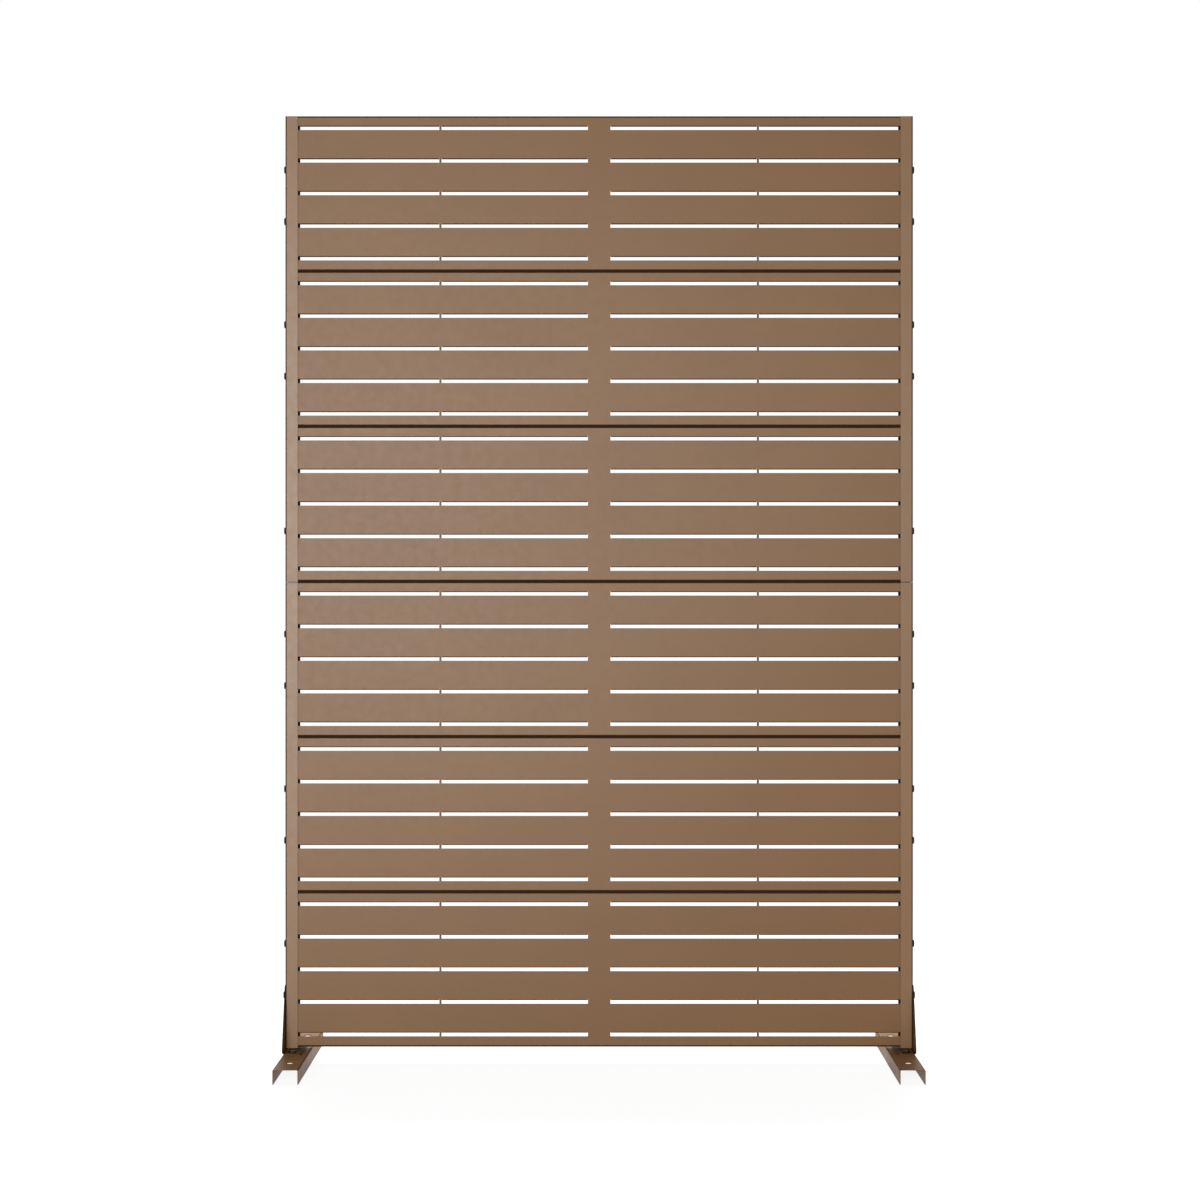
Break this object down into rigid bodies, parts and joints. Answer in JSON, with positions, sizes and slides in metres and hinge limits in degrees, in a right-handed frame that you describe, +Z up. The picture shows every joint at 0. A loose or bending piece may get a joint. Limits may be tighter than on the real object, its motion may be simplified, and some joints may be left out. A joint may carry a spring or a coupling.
{
  "type": "garden privacy screen",
  "caption": "Free-standing garden privacy screen: slotted metal trays stacked between channel posts, each post bracketed to a channel foot that lies front to back.",
  "frame": {"origin": "middle of the footprint, on the ground", "axes": "+Z up; +X along the screen, to the right as seen from the front; the slotted front faces -Y"},
  "size_m": [1.2244, 0.381, 1.835],
  "materials": {
    "panel_coat": "fine satin powder coat, warm bronze",
    "post_coat": "fine satin powder coat, warm bronze",
    "foot_coat": "fine satin powder coat, warm bronze",
    "dark_fastener": "semi-gloss black",
    "plated_steel": "zinc plated"
  },
  "bodies": {
    "root": {"bracket_left": "foot_coat", "bracket_right": "foot_coat", "foot_left": "foot_coat", "foot_nuts_left": "plated_steel", "foot_nuts_right": "plated_steel", "foot_right": "foot_coat", "foot_screws_left": "dark_fastener", "foot_screws_right": "dark_fastener", "lower_post_left": "post_coat", "lower_post_right": "post_coat", "panel_1": "panel_coat", "panel_2": "panel_coat", "panel_3": "panel_coat", "panel_4": "panel_coat", "panel_5": "panel_coat", "panel_6": "panel_coat", "panel_nuts_left": "plated_steel", "panel_nuts_right": "plated_steel", "panel_screws_left": "dark_fastener", "panel_screws_right": "dark_fastener", "splice_left": "plated_steel", "splice_right": "plated_steel", "upper_post_left": "post_coat", "upper_post_right": "post_coat"}
  },
  "joints": []
}
